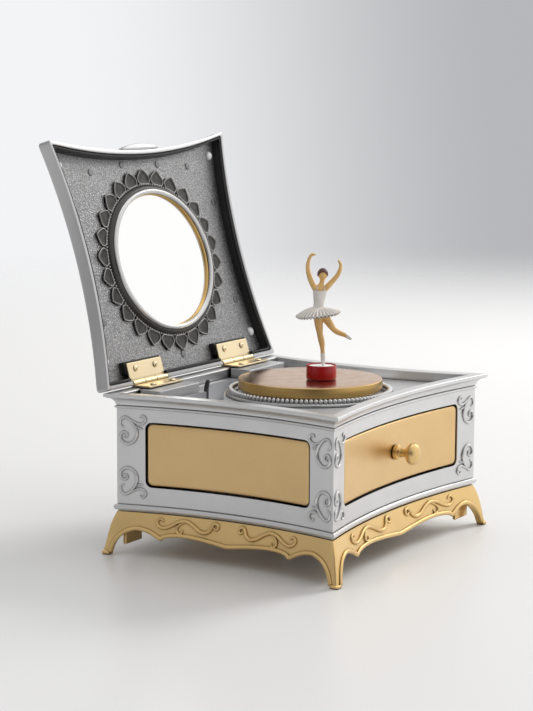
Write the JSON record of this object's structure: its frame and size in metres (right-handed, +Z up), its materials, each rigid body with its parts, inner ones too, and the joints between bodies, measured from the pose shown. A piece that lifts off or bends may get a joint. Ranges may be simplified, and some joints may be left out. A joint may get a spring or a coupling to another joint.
{
  "type": "wind-up music box",
  "caption": "Wind-up musical jewel box: hinged mirror lid, turning dancer on a disc over a spring movement, tray pockets and a small front drawer on a footed stand.",
  "frame": {"origin": "bottom centre of the whole object's box at rest, lid open, on the surface under the feet", "axes": "+Z up, -Y towards the drawer side (front), +X to the right seen from the front"},
  "size_m": [0.152, 0.1584, 0.1864],
  "materials": {
    "silver_case": "satin silver lacquer with fine relief",
    "gold_stand": "polished gold plating with relief scrolls",
    "satin_gold": "satin champagne gold",
    "turntable_gold": "brushed copper gold",
    "tray_grey": "moulded silver grey",
    "gunmetal": "hammered gunmetal lacquer",
    "brass": "polished brass",
    "steel": "bright zinc",
    "red": "gloss red",
    "figure": "hand painted figure: tan skin, white dress, brown hair",
    "white": "white",
    "mirror": "silvered glass",
    "black": "black"
  },
  "bodies": {
    "case": {"base_stand": "gold_stand", "bottom_plate": "steel", "base_screw_1": "steel", "base_screw_2": "steel", "base_screw_3": "steel", "base_screw_4": "steel", "case_body": "silver_case", "side_panel_left": "satin_gold", "side_panel_right": "satin_gold", "back_panel": "satin_gold", "drawer_housing": "steel", "jewel_tray": "tray_grey", "rope_ring": "silver_case", "spindle_bush": "brass", "case_screw_left_1": "brass", "case_screw_left_2": "brass", "case_screw_right_1": "brass", "case_screw_right_2": "brass", "hinge_case_leaf_left": "brass", "hinge_case_leaf_right": "brass", "hinge_pin_left": "brass", "hinge_pin_right": "brass", "movement_bedplate": "brass", "tone_comb": "steel", "comb_screw_1": "steel", "comb_screw_2": "steel", "governor_frame": "brass"},
    "drawer": {"drawer_front": "satin_gold", "drawer_tray": "tray_grey", "drawer_knob": "gold_stand", "knob_nut": "steel"},
    "lid": {"lid_shell": "silver_case", "lid_liner": "gunmetal", "mirror_wreath": "gunmetal", "mirror_frame": "gunmetal", "mirror_bezel": "gold_stand", "mirror_glass": "mirror", "liner_stud_1": "steel", "liner_stud_2": "steel", "liner_stud_3": "steel", "liner_stud_4": "steel", "lift_tab": "silver_case", "hinge_lid_leaf_left": "brass", "hinge_lid_leaf_right": "brass", "lid_screw_left_1": "brass", "lid_screw_left_2": "brass", "lid_screw_right_1": "brass", "lid_screw_right_2": "brass"},
    "turntable": {"turntable_disc": "turntable_gold", "disc_magnet": "steel", "drive_spindle": "steel", "spring_barrel": "brass", "mainspring": "steel"},
    "dancer": {"dancer_drum": "red", "drum_platform": "white", "dancer_figure": "figure"},
    "winding_key": {"winding_key": "steel"},
    "stop_lever": {"stop_lever": "black"},
    "cylinder": {"pin_cylinder": "brass"},
    "fly": {"governor_fly": "steel"}
  },
  "joints": [
    {"name": "lid_hinge", "type": "hinge", "parent": "case", "child": "lid", "pos_m": [0, 0.04215, 0.0754], "axis": [1, 0, 0], "range_deg": [0, 54]},
    {"name": "drawer_slide", "type": "slide", "parent": "case", "child": "drawer", "axis": [0, -1, 0], "range_m": [0, 0.024]},
    {"name": "turntable_spin", "type": "hinge", "parent": "case", "child": "turntable", "pos_m": [0, -0.02175, 0.072], "axis": [0, 0, 1], "continuous": true},
    {"name": "dancer_lift", "type": "slide", "parent": "turntable", "child": "dancer", "axis": [0, 0, 1], "range_m": [0, 0.008]},
    {"name": "key_wind", "type": "hinge", "parent": "case", "child": "winding_key", "pos_m": [0, -0.02175, 0.017], "axis": [0, 0, 1], "continuous": true},
    {"name": "stop_lever_press", "type": "slide", "parent": "case", "child": "stop_lever", "axis": [0, 0, -1], "range_m": [0, 0.0025], "stiffness_N_per_m": 200},
    {"name": "cylinder_spin", "type": "hinge", "parent": "case", "child": "cylinder", "pos_m": [0.02, -0.02175, 0.0334], "axis": [1, 0, 0], "continuous": true},
    {"name": "fly_spin", "type": "hinge", "parent": "case", "child": "fly", "pos_m": [0.0437, -0.02175, 0.033], "axis": [0, 0, 1], "continuous": true}
  ],
  "couplings": [
    {"joint": "cylinder_spin", "follows": "turntable_spin", "ratio": 3},
    {"joint": "fly_spin", "follows": "turntable_spin", "ratio": 24}
  ]
}
